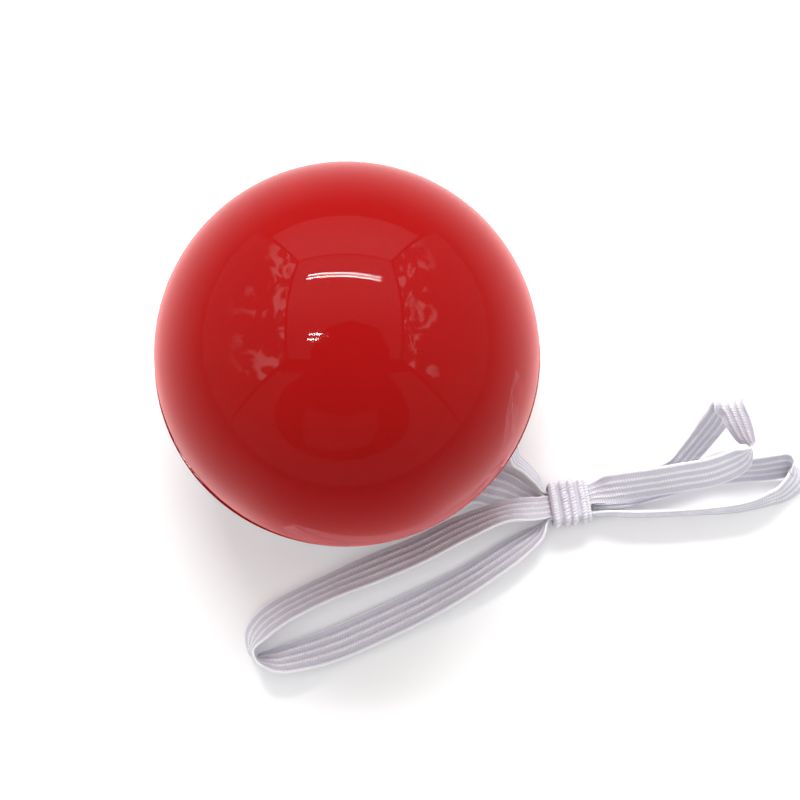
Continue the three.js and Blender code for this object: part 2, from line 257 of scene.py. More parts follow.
def unit(vectors):
    return vectors / np.linalg.norm(vectors, axis=-1, keepdims=True)


# %% [markdown]
# The rows become the ribbon's middle line, the directions of its width and its face at each
# step, and the run along it, whose end is the strap's real length.

# %% Ribbon's line and directions
STRAP_STEP = 0.36 * MM
route_rows = np.array([[x, y, z, *width_direction(a, r), share] for x, y, z, a, r, share in ROUTE])
route = smooth_rows(route_rows, STRAP_STEP)
strap_middle = route[:, :3]
strap_along = unit(np.gradient(strap_middle, axis=0))
strap_wide = route[:, 3:6]
strap_wide = unit(strap_wide - (strap_wide * strap_along).sum(1)[:, None] * strap_along)
strap_up = np.cross(strap_along, strap_wide)
strap_share = route[:, 6]
strap_run = np.concatenate([[0], np.cumsum(np.linalg.norm(np.diff(strap_middle, axis=0), axis=1))])

# %% [markdown]
# ## The elastic's section
# Braided elastic is a row of rubber cords that thread holds side by side. This one has
# five narrow ones: a round cord at each edge and three stitched lines between, with wide
# flat channels. A bump could fake them, but the ridges make the stripes that the eye sees
# first, also at the folds, so they are real shape here.

# %% Section of the elastic
RIDGE_PITCH = 1.12 * MM
EDGE_RIDGE_HALF = 0.27 * MM
INNER_RIDGE_HALF = 0.25 * MM
EDGE_PULL = 0.995
WEB_HALF_THICKNESS = 0.13 * MM
RIDGE_HALF_THICKNESS = 0.23 * MM
EDGE_HALF_THICKNESS = 0.17 * MM
OUTER_HALF_THICKNESS = 0.06 * MM
RIDGE_OFFSETS = np.array([-1.0, -0.8, -0.45, 0.0, 0.45, 0.8, 1.0])


def half_section():
    """Places across the ribbon, from edge to edge, and its half thickness at each."""
    swell = np.sqrt(1 - RIDGE_OFFSETS ** 2)
    across, high = [], []
    for k in range(-2, 3):
        at_edge = abs(k) == 2
        half = EDGE_RIDGE_HALF if at_edge else INNER_RIDGE_HALF
        thick = EDGE_HALF_THICKNESS if at_edge else RIDGE_HALF_THICKNESS
        across.append(k * RIDGE_PITCH * (EDGE_PULL if at_edge else 1) + RIDGE_OFFSETS * half)
        high.append(WEB_HALF_THICKNESS + (thick - WEB_HALF_THICKNESS) * swell)
    return np.concatenate(across), np.concatenate(high)


section_across, section_high = half_section()
section_high[[0, -1]] = OUTER_HALF_THICKNESS
section_across = np.concatenate([section_across, section_across[::-1]])
section_high = np.concatenate([section_high, -section_high[::-1]])
print("section points", len(section_across), "width", section_across.max() * 2)

# %% [markdown]
# The section is swept along the route, and made narrower where the band squeezes it. Each
# vertex also keeps its run along the ribbon and its place across it, which the thread's
# pattern needs. The piece rides on the root body and stands for the CAD's plain ribbon.

# %% Elastic strap
strap_grid = (
    strap_middle[:, None, :]
    + strap_wide[:, None, :] * (strap_share[:, None] * section_across[None, :])[:, :, None]
    + strap_up[:, None, :] * section_high[None, :, None]
)
strap_measures = np.empty(strap_grid.shape[:2] + (2,))
strap_measures[:, :, 0] = strap_run[:, None] / MM
strap_measures[:, :, 1] = section_across[None, :] / MM
strap = skin("woven_strap", strap_grid, caps=True, measures=strap_measures)
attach(strap, "root")
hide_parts("elastic_strap")

# %% [markdown]
# ## The wound band
# A short piece of the same elastic is wound tightly round the four strands. It could be a
# ribbon on a helix, but its turns lie so close that only a ring of ribs shows. So a skin
# follows a rectangle with round corners, which is what four flat strands fill.

# %% Band outline
BAND_INSIDE = (4.7 * MM, 3.8 * MM)
BAND_WALL = 0.5 * MM
BAND_CORNER = 0.8 * MM
BAND_CORNER_STEPS = 12
BAND_STEPS = 420


def rounded_loop(width, height, corner, steps):
    """Points round a rectangle with round corners."""
    points = []
    for k, (cx, cy) in enumerate([(1, -1), (1, 1), (-1, 1), (-1, -1)]):
        for s in range(steps + 1):
            angle = math.pi / 2 * (k - 1 + s / steps)
            points.append((
                cx * (width / 2 - corner) + corner * math.cos(angle),
                cy * (height / 2 - corner) + corner * math.sin(angle),
            ))
    return np.array(points)


def resampled(points, count):
    """The same loop with evenly spaced points, and each one's run round it."""
    closed = np.vstack([points, points[:1]])
    at = np.concatenate([[0], np.cumsum(np.linalg.norm(np.diff(closed, axis=0), axis=1))])
    where = np.linspace(0, at[-1], count, endpoint=False)
    return np.stack([np.interp(where, at, closed[:, c]) for c in range(2)], axis=1), where


band_size = [side + BAND_WALL for side in BAND_INSIDE]
band_middle = rounded_loop(*band_size, BAND_CORNER, BAND_CORNER_STEPS)
band_loop, band_run = resampled(band_middle, BAND_STEPS)
band_out = unit(np.roll(band_loop, -1, axis=0) - np.roll(band_loop, 1, axis=0))
band_out = np.stack([band_out[:, 1], -band_out[:, 0]], axis=1)
print("band's middle surface is", round(float(band_run[-1]), 4), "m round")

# %% [markdown]
# The wound cords show as ribs of uneven width, with a wider and darker gap where the
# elastic overlaps itself. Each rib is a rounded swell with a wave for its stitches, which
# hardly show on the outermost ribs.

# %% Band ribs
RIB_PLACES = np.array([-2.0, -0.66, 0.42, 1.7, 2.36]) * MM
RIB_HALVES = np.array([0.56, 0.51, 0.45, 0.38, 0.24]) * MM
RIB_HEIGHTS = np.array([0.42, 0.42, 0.4, 0.38, 0.28]) * MM
RIB_STITCHES = np.array([0.15, 1, 1, 1, 0.3])
RIB_SWELL = 1.15
STITCH_PITCH = 0.46 * MM
STITCH_DEPTH = 0.22
GAP_LEVEL = -0.14 * MM


def band_ridges(x, run):
    """Height of the band's outside over its middle surface, at a place on its axis and a run round it."""
    off = (x[None, :, None] - RIB_PLACES) / RIB_HALVES
    wave = np.sin(2 * math.pi * (run[:, None, None] / STITCH_PITCH + 0.5 * off))
    swell = np.sqrt(np.clip(1 - off ** 2, 0, 1)) * RIB_HEIGHTS * (1 + STITCH_DEPTH * RIB_STITCHES * wave)
    return GAP_LEVEL + RIB_SWELL * swell.max(axis=2)


highest_rib = GAP_LEVEL + RIB_SWELL * RIB_HEIGHTS.max()
print("highest rib", round(float(highest_rib), 5), "m over the band's middle surface")

# %% [markdown]
# The ring is laid a little aslant, as the wound cords are. Its measures tell the thread's
# pattern how far a point is from the nearest rib, so each rib gets a cord's white, and the
# gaps between the ribs and the ribs' flanks get the channels' painted shade.

# %% Wound band
BAND_TURN = math.radians(8)
BAND_LENGTH = 5.2 * MM
BAND_SLANT = -0.03
# The measure's scale sets how far the channels' painted shade climbs the ribs' flanks.
BAND_MEASURE = 0.66
BAND_BORE_LEVEL = -0.22 * MM
OUTSIDE_COUNT, BORE_COUNT = 61, 9
band_centre = np.array([0.0295, -0.0171, 0.0026])
band_along = np.array([math.cos(BAND_TURN), math.sin(BAND_TURN), 0.0])
band_side = np.array([-math.sin(BAND_TURN), math.cos(BAND_TURN), 0.0])
band_up = np.array([0.0, 0.0, 1.0])
outside_x = np.linspace(-1, 1, OUTSIDE_COUNT) * BAND_LENGTH / 2
bore_x = np.linspace(1, -1, BORE_COUNT) * BAND_LENGTH / 2
band_x = np.concatenate([outside_x, bore_x])
band_high = np.full((BAND_STEPS, len(band_x)), BAND_BORE_LEVEL)
band_high[:, :OUTSIDE_COUNT] = band_ridges(outside_x, band_run)
band_high[:, [0, OUTSIDE_COUNT - 1]] = 0.0
band_shift = BAND_SLANT * band_loop[:, 0]
band_grid = (
    band_centre
    + band_along * (band_x[None, :, None] + band_shift[:, None, None])
    + band_side * (band_loop[:, 0][:, None] + band_out[:, 0][:, None] * band_high)[:, :, None]
    + band_up * (band_loop[:, 1][:, None] + band_out[:, 1][:, None] * band_high)[:, :, None]
)
rib_offset = band_x[:, None] - RIB_PLACES[None, :]
rib_offset = rib_offset[np.arange(len(rib_offset)), np.abs(rib_offset).argmin(axis=1)]
band_measures = np.empty(band_grid.shape[:2] + (2,))
band_measures[:, :, 0] = band_run[:, None] / MM
band_measures[:, :, 1] = BAND_MEASURE * rib_offset[None, :] / MM
band = skin("wound_band", band_grid[:, ::-1], close_rows=True, measures=band_measures[:, ::-1])
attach(band, "root")
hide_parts("strap_wrap")

# %% [markdown]
# ## The end knots
# Each end of the elastic is knotted inside the ball, behind its hole, which is what holds
# it. They show only through the opening. A simulation could tie them, but a trefoil curve
# is the simplest true knot, so a thick strand follows one, scaled to the CAD's stand-in.

# %% Knot helpers
KNOT_SIDES = 14
KNOT_STEPS = 120
KNOT_DEPTH = 1.1
TREFOIL_REACH = 3.05
STRAND_SHARE = 0.4
LEAN = np.array([0.3, 0.2, 1.0])


def strand(name, path, radius):
    """A round strand along a closed path that never runs along LEAN."""
    along = unit(np.roll(path, -1, axis=0) - np.roll(path, 1, axis=0))
    side = unit(np.cross(along, LEAN))[:, None, :]
    other = np.cross(side, along[:, None, :])
    angle = np.linspace(0, 2 * math.pi, KNOT_SIDES, endpoint=False)[None, :, None]
    around = side * np.cos(angle) + other * np.sin(angle)
    return skin(name, path[:, None, :] + radius * around, close_rows=True)


def trefoil():
    """A knotted loop that reaches one from its middle."""
    t = np.linspace(0, 2 * math.pi, KNOT_STEPS, endpoint=False)
    x, y = np.sin(t) + 2 * np.sin(2 * t), np.cos(t) - 2 * np.cos(2 * t)
    return np.stack([x, y, -KNOT_DEPTH * np.sin(3 * t)], axis=1) / TREFOIL_REACH


# %% End knots
def end_knot(name, node):
    low, high = (np.array(c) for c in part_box(node))
    centre, reach = (low + high) / 2, (high - low).min() / 2
    radius = STRAND_SHARE * reach
    piece = strand(name, centre + trefoil() * (reach - radius), radius)
    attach(piece, "root")
    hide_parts(node)
    return piece


knot_right = end_knot("end_knot_right", "strap_end_knot_right")
knot_left = end_knot("end_knot_left", "strap_end_knot_left")

# %% [markdown]
# ## The strap
# The strap is limp, comes out of the ball at the right hole and goes back in at the left
# one.

# %% [markdown]
# ## The red ball
# Both halves are thin moulded shells, made as turned shapes: a profile is swung round Z.
# A sphere with a Solidify modifier is quicker, but a written profile also gives the lip
# that locates the halves and the eased edge that moulding leaves on both sides of the seam.
# Two tight rings round the pole keep the dome's shading smooth there.

# %% Shell helpers
AROUND = 288
DOME_STEPS = 96


def height_arc(radius, start, end, steps):
    """Points of a profile on a sphere round the ball's centre, from one height to another."""
    a, b = (math.asin(max(-1.0, min(1.0, (h - BALL_CENTRE[2]) / radius))) for h in (start, end))
    angle = np.linspace(a, b, steps)
    return np.stack([radius * np.cos(angle), BALL_CENTRE[2] + radius * np.sin(angle)], axis=1)


def turned(name, profile, proud=None):
    """A closed profile swung round Z, and pushed out by what proud says for a height and a turn."""
    turn = np.linspace(0, 2 * math.pi, AROUND, endpoint=False)
    radius = np.repeat(profile[:, 0][:, None], AROUND, axis=1)
    height = np.repeat(profile[:, 1][:, None], AROUND, axis=1)
    if proud is not None:
        radius = radius + proud(height, turn[None, :])
    grid = np.stack([radius * np.cos(turn), radius * np.sin(turn), height], axis=2)
    return skin(name, grid, close_rows=True)


# %% Front half's profile
LIP_DEPTH = 2 * MM
LIP_ROOT = 1.5 * MM
LIP_WALL = 0.9 * MM
LIP_PLAY = 0.15 * MM
SEAM_EASE = 0.12 * MM
EASE_KNEE = 0.3 * SEAM_EASE
POLE, NEAR_POLE = 0.01 * MM, 0.05 * MM
HAIR = 1e-9
bore_radius = BALL_RADIUS - WALL
bore_top = BALL_CENTRE[2] + bore_radius
seam_radius = math.sqrt(BALL_RADIUS ** 2 - (seam_height - BALL_CENTRE[2]) ** 2)
lip_end = seam_height - LIP_DEPTH
lip_outer = math.sqrt(bore_radius ** 2 - (lip_end - BALL_CENTRE[2]) ** 2) - LIP_PLAY
lip_inner = lip_outer - LIP_WALL
front_outside = height_arc(BALL_RADIUS, seam_height + SEAM_EASE, dome_top - HAIR, DOME_STEPS)
front_outside = np.vstack([front_outside[:-1], [(NEAR_POLE, dome_top), (POLE, dome_top)]])
front_inside = height_arc(bore_radius, bore_top - HAIR, seam_height + 2 * LIP_ROOT, DOME_STEPS)
front_inside = np.vstack([[(POLE, bore_top), (NEAR_POLE, bore_top)], front_inside[1:]])
front_edge = [(seam_radius - SEAM_EASE, seam_height), (seam_radius - EASE_KNEE, seam_height + EASE_KNEE)]
lip = [
    (lip_inner, seam_height + LIP_ROOT),
    (lip_inner, lip_end),
    (lip_outer, lip_end),
    (lip_outer, seam_height),
]
front_profile = np.vstack([front_edge, front_outside, front_inside, lip])
print("front profile", len(front_profile), "points, lip from", lip_inner, "to", lip_outer, "m")

# %% Front half
front_half = turned("front_half", front_profile[::-1])
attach(front_half, "root")
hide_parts("front_shell")

# %% [markdown]
# The rear half is a touch oval, as thin mouldings are, so its edge stands out most at the
# lower left of the picture, less at the right and not at all at the top. The profile can't
# say that, because it is the same all round. A short table of directions and steps does,
# and the step fades out down the side.

# %% Rear half
SEAM_STEP_TURNS = [0, 30, 60, 90, 130, 165, 190, 218, 240, 262, 285, 310, 335, 360]
SEAM_STEPS = np.array([0.20, 0.10, 0.02, 0.0, 0.03, 0.08, 0.2, 0.33, 0.22, 0.0, -0.08, 0.02, 0.16, 0.20]) * MM
STEP_FADE = 9 * MM


def rear_proud(height, turn):
    """How far the rear half stands out at a height, in a direction round Z."""
    step = np.interp(np.degrees(turn), SEAM_STEP_TURNS, SEAM_STEPS)
    fade = np.clip(1 - (seam_height - height) / STEP_FADE, 0, 1) ** 2
    return step * fade


rear_outside = height_arc(BALL_RADIUS, 0.0, seam_height - SEAM_EASE, DOME_STEPS)
rear_inside = height_arc(bore_radius, seam_height, 0.0, DOME_STEPS)
rear_edge = [(seam_radius - EASE_KNEE, seam_height - EASE_KNEE), (seam_radius - SEAM_EASE, seam_height)]
rear_profile = np.vstack([rear_outside, rear_edge, rear_inside])
rear_half = turned("rear_half", rear_profile[::-1], rear_proud)
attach(rear_half, "root")
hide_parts("rear_shell")

# %% [markdown]
# Two small holes let the strap into the ball. A turned shape is the same all round, so
# they can't be in the profile. A boolean drills them, along the same axes as in the CAD.

# %% Strap holes
HOLE_DIAMETER = 3.6 * MM
HOLE_TURN = math.radians(-20)
HOLE_DIP = math.radians(30)
HOLE_SIDES = 48
DRILL_REACH = (-4 * WALL, 2 * WALL)


def drill(turn):
    flat = math.cos(HOLE_DIP)
    axis = np.array([flat * math.cos(turn), flat * math.sin(turn), -math.sin(HOLE_DIP)])
    side = unit(np.cross(axis, [0, 0, 1.0]))
    other = np.cross(axis, side)
    angle = np.linspace(0, 2 * math.pi, HOLE_SIDES, endpoint=False)[:, None]
    ring = HOLE_DIAMETER / 2 * (side * np.cos(angle) + other * np.sin(angle))
    ends = [BALL_CENTRE + axis * (BALL_RADIUS + d) for d in DRILL_REACH]
    cutter = skin("drill", np.array([ends[0] + ring, ends[1] + ring]), caps=True)
    cut = rear_half.modifiers.new("hole", "BOOLEAN")
    cut.operation = "DIFFERENCE"
    cut.solver = "EXACT"
    cut.object = cutter
    bpy.context.view_layer.objects.active = rear_half
    bpy.ops.object.modifier_apply(modifier=cut.name)
    bpy.data.objects.remove(cutter)


drill(HOLE_TURN)
drill(HOLE_TURN + math.pi)
print("rear half after drilling", len(rear_half.data.polygons), "faces")

# %% [markdown]
# ## Materials
# Hard glossy plastic is a coloured body under a smooth skin that mirrors the room. A coat
# layer could be that skin, but the shader's own specular layer does the same with less,
# at a roughness near zero. A faint noise bump keeps the mirror from being perfect, and a
# red-tinted sheen keeps the ball's rim as rich as its middle.


# %% Material helpers
def new_material(name):
    material = bpy.data.materials.new(name)
    material.use_nodes = True
    nodes = material.node_tree.nodes
    shader = nodes["Principled BSDF"]
    return material, nodes, material.node_tree.links, shader


def put_on(material, *pieces):
    for piece in pieces:
        piece.data.materials.clear()
        piece.data.materials.append(material)
    print(material.name, "on", ", ".join(piece.name for piece in pieces))


def noise(nodes, links, place, scale, detail):
    node = nodes.new("ShaderNodeTexNoise")
    node.inputs["Scale"].default_value = scale
    node.inputs["Detail"].default_value = detail
    links.new(place.outputs["Object"], node.inputs["Vector"])
    return node


def bumped(nodes, links, shader, height, strength, distance):
    bump = nodes.new("ShaderNodeBump")
    bump.inputs["Strength"].default_value = strength
    bump.inputs["Distance"].default_value = distance
    links.new(height, bump.inputs["Height"])
    links.new(bump.outputs["Normal"], shader.inputs["Normal"])


def two_colours(nodes, links, shader, value, low, high):
    """The base colour goes from one to another as a value rises; each is a place in its span and a colour."""
    ramp = nodes.new("ShaderNodeValToRGB")
    for k, (at, colour) in enumerate((low, high)):
        ramp.color_ramp.elements[k].position = at
        ramp.color_ramp.elements[k].color = (*colour, 1)
    links.new(value, ramp.inputs["Fac"])
    links.new(ramp.outputs["Color"], shader.inputs["Base Color"])


# %% Red plastic
RED_DEEP = (0.283, 0.0038, 0.0036)
RED_CLEAR = (0.297, 0.0046, 0.0044)


def red_plastic():
    material, nodes, links, shader = new_material("red_plastic")
    shader.inputs["Roughness"].default_value = 0.04
    shader.inputs["IOR"].default_value = 1.5
    shader.inputs["Sheen Weight"].default_value = 0.7
    shader.inputs["Sheen Roughness"].default_value = 0.45
    shader.inputs["Sheen Tint"].default_value = (1.0, 0.12, 0.12, 1)
    place = nodes.new("ShaderNodeTexCoord")
    clouds = noise(nodes, links, place, 60, 3)
    two_colours(nodes, links, shader, clouds.outputs["Fac"], (0.35, RED_DEEP), (0.7, RED_CLEAR))
    waves = noise(nodes, links, place, 220, 2)
    bumped(nodes, links, shader, waves.outputs["Fac"], 0.03, 0.1 * MM)
    return material


put_on(red_plastic(), front_half, rear_half)

# %% [markdown]
# The elastic's thread is matt and white. Its channels are painted a cool lilac grey, which is
# partly the thread's own cast and partly painted shade between the cords. A pattern laid on
# from above would slide at the folds. The measures that the skin helper stored say how far
# along and across a point is, so the cords and their slanting stitches follow the ribbon
# round every fold. A few helpers make such patterns from maths nodes.

# %% Maths helpers
def joined(nodes, links, operation, *values):
    """The output of one maths node, fed with numbers or with other nodes' outputs."""
    node = nodes.new("ShaderNodeMath")
    node.operation = operation
    for socket, value in zip(node.inputs, values):
        if isinstance(value, (int, float)):
            socket.default_value = value
        else:
            links.new(value, socket)
    return node.outputs[0]


def faded(nodes, links, value, start, end, first, last):
    """A smooth step from first to last as a value goes from start to end."""
    node = nodes.new("ShaderNodeMapRange")
    node.interpolation_type = "SMOOTHSTEP"
    for name, number in (("From Min", start), ("From Max", end), ("To Min", first), ("To Max", last)):
        node.inputs[name].default_value = number
    links.new(value, node.inputs["Value"])
    return node.outputs["Result"]


# %% [markdown]
# The cords wander a little across the ribbon, as rubber does under its thread, and the
# cords at the edges have weaker stitches. All lengths in these cells are in millimetres,
# as the measures are.

# %% Cords and stitches
CORD_SPAN = (0.12, 0.33)
INNER_CORDS_END = (1.85, 1.95)
EDGE_CORD_SPAN = (2.12, 2.3)
WANDER = 0.12
WANDER_SCALE = 0.35
STITCH_RUN = 0.36
STITCH_SLANT = 0.9
STITCH_FADE = (1.5, 1.8)
EDGE_STITCH = 0.25


def ribbon_place(nodes, links):
    """The run along the ribbon and the place across it."""
    measures = nodes.new("ShaderNodeUVMap")
    measures.uv_map = "measures"
    parts = nodes.new("ShaderNodeSeparateXYZ")
    links.new(measures.outputs["UV"], parts.inputs["Vector"])
    return parts.outputs["X"], parts.outputs["Y"]


def cord_mask(nodes, links, run, across):
    """One on the cords and nought in the channels."""
    wander = nodes.new("ShaderNodeTexNoise")
    wander.noise_dimensions = "1D"
    wander.inputs["Scale"].default_value = WANDER_SCALE
    links.new(run, wander.inputs["W"])
    moved = joined(nodes, links, "MULTIPLY_ADD", wander.outputs["Fac"], 2 * WANDER, -WANDER)
    moved = joined(nodes, links, "ADD", across, moved)
    near = joined(nodes, links, "PINGPONG", moved, RIDGE_PITCH / MM / 2)
    outward = joined(nodes, links, "ABSOLUTE", across)
    ends = faded(nodes, links, outward, *INNER_CORDS_END, 1.0, 0.0)
    inner = joined(nodes, links, "MULTIPLY", faded(nodes, links, near, *CORD_SPAN, 1.0, 0.0), ends)
    return joined(nodes, links, "MAXIMUM", inner, faded(nodes, links, outward, *EDGE_CORD_SPAN, 0.0, 1.0))


def stitches_on(nodes, links, run, across):
    """The stitches, from nought to one, and how far they can rise at a place across."""
    slant = joined(nodes, links, "MULTIPLY", across, STITCH_SLANT)
    turns = joined(nodes, links, "MULTIPLY_ADD", run, 1 / STITCH_RUN, slant)
    wave = joined(nodes, links, "SINE", joined(nodes, links, "MULTIPLY", turns, 2 * math.pi))
    wave = joined(nodes, links, "MULTIPLY_ADD", wave, 0.5, 0.5)
    most = faded(nodes, links, joined(nodes, links, "ABSOLUTE", across), *STITCH_FADE, 1.0, EDGE_STITCH)
    return joined(nodes, links, "MULTIPLY", wave, most), most


# %% [markdown]
# The pattern drives two things: the height of the bump, with a fine weft in the channels,
# and the colour, with a little fuzz. The colour is painted shade: white on the cords' crests,
# lilac grey in the channels and in the troughs between stitches. The band is wound tightly,
# so its stitches are painted with deeper shade than the strap's.

# %% White elastic
# Painted shade: the channels and the troughs between stitches get this lilac grey, which is partly the
# thread's own cool cast.
CHANNEL_SHADE_LILAC = (0.62, 0.60, 0.68)
THREAD_WHITE = (0.86, 0.85, 0.88)
WEFT_RUN = 0.3
WEFT_HEIGHT = (0.12, 0.3)
STITCH_HEIGHT = (0.55, 0.45)
FUZZ = 0.15
# How deep the painted shade between the stitches is, on the strap and on the band.
STRAP_STITCH_SHADE = 0.35
BAND_STITCH_SHADE = 0.8


def elastic_bump(nodes, links, shader, run, cords, stitches):
    weft = joined(nodes, links, "SINE", joined(nodes, links, "MULTIPLY", run, 2 * math.pi / WEFT_RUN))
    heights = nodes.new("ShaderNodeMix")
    links.new(cords, heights.inputs["Factor"])
    links.new(joined(nodes, links, "MULTIPLY_ADD", weft, *WEFT_HEIGHT), heights.inputs["A"])
    links.new(joined(nodes, links, "MULTIPLY_ADD", stitches, *STITCH_HEIGHT), heights.inputs["B"])
    bumped(nodes, links, shader, heights.outputs["Result"], 0.7, 0.16 * MM)


def white_elastic(name, stitch_shade):
    """White thread with painted shade in its channels and between its stitches; the second argument sets how
    deep the stitch shade is.
    """
    material, nodes, links, shader = new_material(name)
    shader.inputs["Roughness"].default_value = 0.7
    shader.inputs["Sheen Weight"].default_value = 0.1
    run, across = ribbon_place(nodes, links)
    cords = cord_mask(nodes, links, run, across)
    stitches, most = stitches_on(nodes, links, run, across)
    elastic_bump(nodes, links, shader, run, cords, stitches)
    fuzz = noise(nodes, links, nodes.new("ShaderNodeTexCoord"), 900, 4)
    fuzz = joined(nodes, links, "MULTIPLY_ADD", fuzz.outputs["Fac"], 2 * FUZZ, -FUZZ)
    # Painted shade: on the cords the colour is white at each stitch's crest and goes towards the lilac grey
    # in its trough; off the cords it is the channels' lilac grey.
    shown = joined(nodes, links, "SUBTRACT", 1.0, joined(nodes, links, "MULTIPLY", most, stitch_shade))
    shown = joined(nodes, links, "MULTIPLY_ADD", stitches, stitch_shade, shown)
    bright = joined(nodes, links, "ADD", joined(nodes, links, "MULTIPLY", cords, shown), fuzz)
    two_colours(nodes, links, shader, bright, (0.1, CHANNEL_SHADE_LILAC), (0.95, THREAD_WHITE))
    return material


put_on(white_elastic("white_elastic", STRAP_STITCH_SHADE), strap, knot_right, knot_left)
put_on(white_elastic("wound_elastic", BAND_STITCH_SHADE), band)

# %% [markdown]
# ## Stage
# The photograph was taken in a white light tent on a white sheet. A wide matt floor is
# that sheet here, and catches the soft shadows. It has no gloss, so that it stays one plain
# white from every side. One helper makes whatever belongs to the stage, and can hide a
# form from everything but reflections.


# %% Stage helpers
def stage_form(name, points, faces, material, only_reflected=True):
    mesh = bpy.data.meshes.new(name)
    mesh.from_pydata([tuple(map(float, p)) for p in points], [], faces)
    mesh.materials.append(material)
    form = bpy.data.objects.new(name, mesh)
    bpy.context.scene.collection.objects.link(form)
    if only_reflected:
        form.visible_camera = False
        form.visible_diffuse = False
        form.visible_shadow = False
        form.visible_transmission = False


def stage_sheet(name, corners, material, only_reflected=True):
    stage_form(name, corners, [tuple(range(len(corners)))], material, only_reflected)


def square(half, height):
    return [(-half, -half, height), (half, -half, height), (half, half, height), (-half, half, height)]


# %% Floor
FLOOR_HALF = 1500 * MM


def white_sheet():
    material, _, _, shader = new_material("white_sheet")
    shader.inputs["Base Color"].default_value = (0.95, 0.945, 0.945, 1)
    shader.inputs["Roughness"].default_value = 1.0
    shader.inputs["Specular IOR Level"].default_value = 0.0
    return material


stage_sheet("floor", square(FLOOR_HALF, 0), white_sheet(), only_reflected=False)
print("floor", 2 * FLOOR_HALF, "m wide")

# %% [markdown]
# The tent's cloth gives an even light from all round. Six lit panels could do that, but a
# glowing world is simpler and has no edges. It is brighter overhead than at the horizon,
# which leaves the ball's rim dark enough. The Standard view is chosen because the default
# one greys a white sheet.

# %% World
SKY_HEIGHTS = (0.0, 0.7)
SKY_GLOW = (0.45, 1.02)
world = bpy.data.worlds.new("tent")
bpy.context.scene.world = world
bpy.context.scene.view_settings.view_transform = "Standard"
world.use_nodes = True
sky_nodes, sky_links = world.node_tree.nodes, world.node_tree.links
sky = sky_nodes["Background"]
sky.inputs["Color"].default_value = (1, 1, 1, 1)
sky_place = sky_nodes.new("ShaderNodeTexCoord")
sky_parts = sky_nodes.new("ShaderNodeSeparateXYZ")
sky_links.new(sky_place.outputs["Generated"], sky_parts.inputs["Vector"])
sky_strength = faded(sky_nodes, sky_links, sky_parts.outputs["Z"], *SKY_HEIGHTS, *SKY_GLOW)
sky_links.new(sky_strength, sky.inputs["Strength"])
print("world glows", SKY_GLOW[0], "at the horizon and", SKY_GLOW[1], "overhead")

# %% [markdown]
# One wide lamp high behind the nose draws the soft shadows towards the viewer, as in the
# photograph. A sun would draw them too sharp. Reflections don't see this lamp, because the
# small lamps that the ball does mirror are made further on.

# %% Tent light
LIGHT_PLACE = (-0.02, 0.41, 0.52)
LIGHT_SIZE = (0.5, 0.16)
LIGHT_WATTS = 4.2


def soft_light(name, place, target, size, watts):
    data = bpy.data.lights.new(name, "AREA")
    data.shape = "RECTANGLE"
    data.size, data.size_y = size
    data.energy = watts
    light = bpy.data.objects.new(name, data)
    light.location = place
    direction = np.array(target) - np.array(place)
    yaw = math.atan2(direction[1], direction[0])
    tilt = math.atan2(math.hypot(direction[0], direction[1]), -direction[2])
    light.rotation_euler = (tilt, 0, yaw - math.pi / 2)
    light.visible_glossy = False
    bpy.context.scene.collection.objects.link(light)
    print(name, "at", place, "with", watts, "W")


soft_light("tent_back", LIGHT_PLACE, (0, 0, 0), LIGHT_SIZE, LIGHT_WATTS)

# %% [markdown]
# ## What the ball mirrors
# The glossy ball mirrors the tent: its walls, its ceiling with rows of small lamps, and
# the dark opening in front. The tent could be drawn on the world instead, but its walls
# would then seem endlessly far off. So glowing cloths stand where the walls are, and only
# reflections see them.


# %% Glowing cloth
CRUMPLE_SCALE = 6.5
CRUMPLE_TWIST = 1.2
CRUMPLE_HEIGHTS = (0.1, 0.4)
CRUMPLE_CREST = (0.5, 0.62)


def glow_nodes(name):
    material = bpy.data.materials.new(name)
    material.use_nodes = True
    nodes, links = material.node_tree.nodes, material.node_tree.links
    nodes.clear()
    emit = nodes.new("ShaderNodeEmission")
    output = nodes.new("ShaderNodeOutputMaterial")
    links.new(emit.outputs["Emission"], output.inputs["Surface"])
    place = nodes.new("ShaderNodeTexCoord")
    parts = nodes.new("ShaderNodeSeparateXYZ")
    links.new(place.outputs["Object"], parts.inputs["Vector"])
    return material, nodes, links, emit, place, parts


def glow(name, low, high, axis="Z", span=(0.0, 1.0), crumple=0.0):
    """A glowing cloth that is low at one end of its span along an axis and high at the other."""
    material, nodes, links, emit, place, parts = glow_nodes(name)
    strength = faded(nodes, links, parts.outputs[axis], span[0], span[1], low, high)
    if crumple:
        folds = noise(nodes, links, place, CRUMPLE_SCALE, 3)
        folds.inputs["Distortion"].default_value = CRUMPLE_TWIST
        near_top = faded(nodes, links, parts.outputs["Z"], *CRUMPLE_HEIGHTS, 0.0, 1.0)
        fold = faded(nodes, links, folds.outputs["Fac"], *CRUMPLE_CREST, 0.0, crumple)
        strength = joined(nodes, links, "MULTIPLY_ADD", fold, near_top, strength)
    links.new(strength, emit.inputs["Strength"])
    return material


# %% Tent walls
TENT_LEFT, TENT_RIGHT = -400 * MM, 380 * MM
TENT_FRONT, TENT_BACK = -155 * MM, 680 * MM
TENT_FRONT_FOOT, TENT_BACK_FOOT = -250 * MM, 550 * MM
TENT_HEIGHT = 600 * MM
TENT_SEAM = 14 * MM
TENT_FOOT = 2 * MM


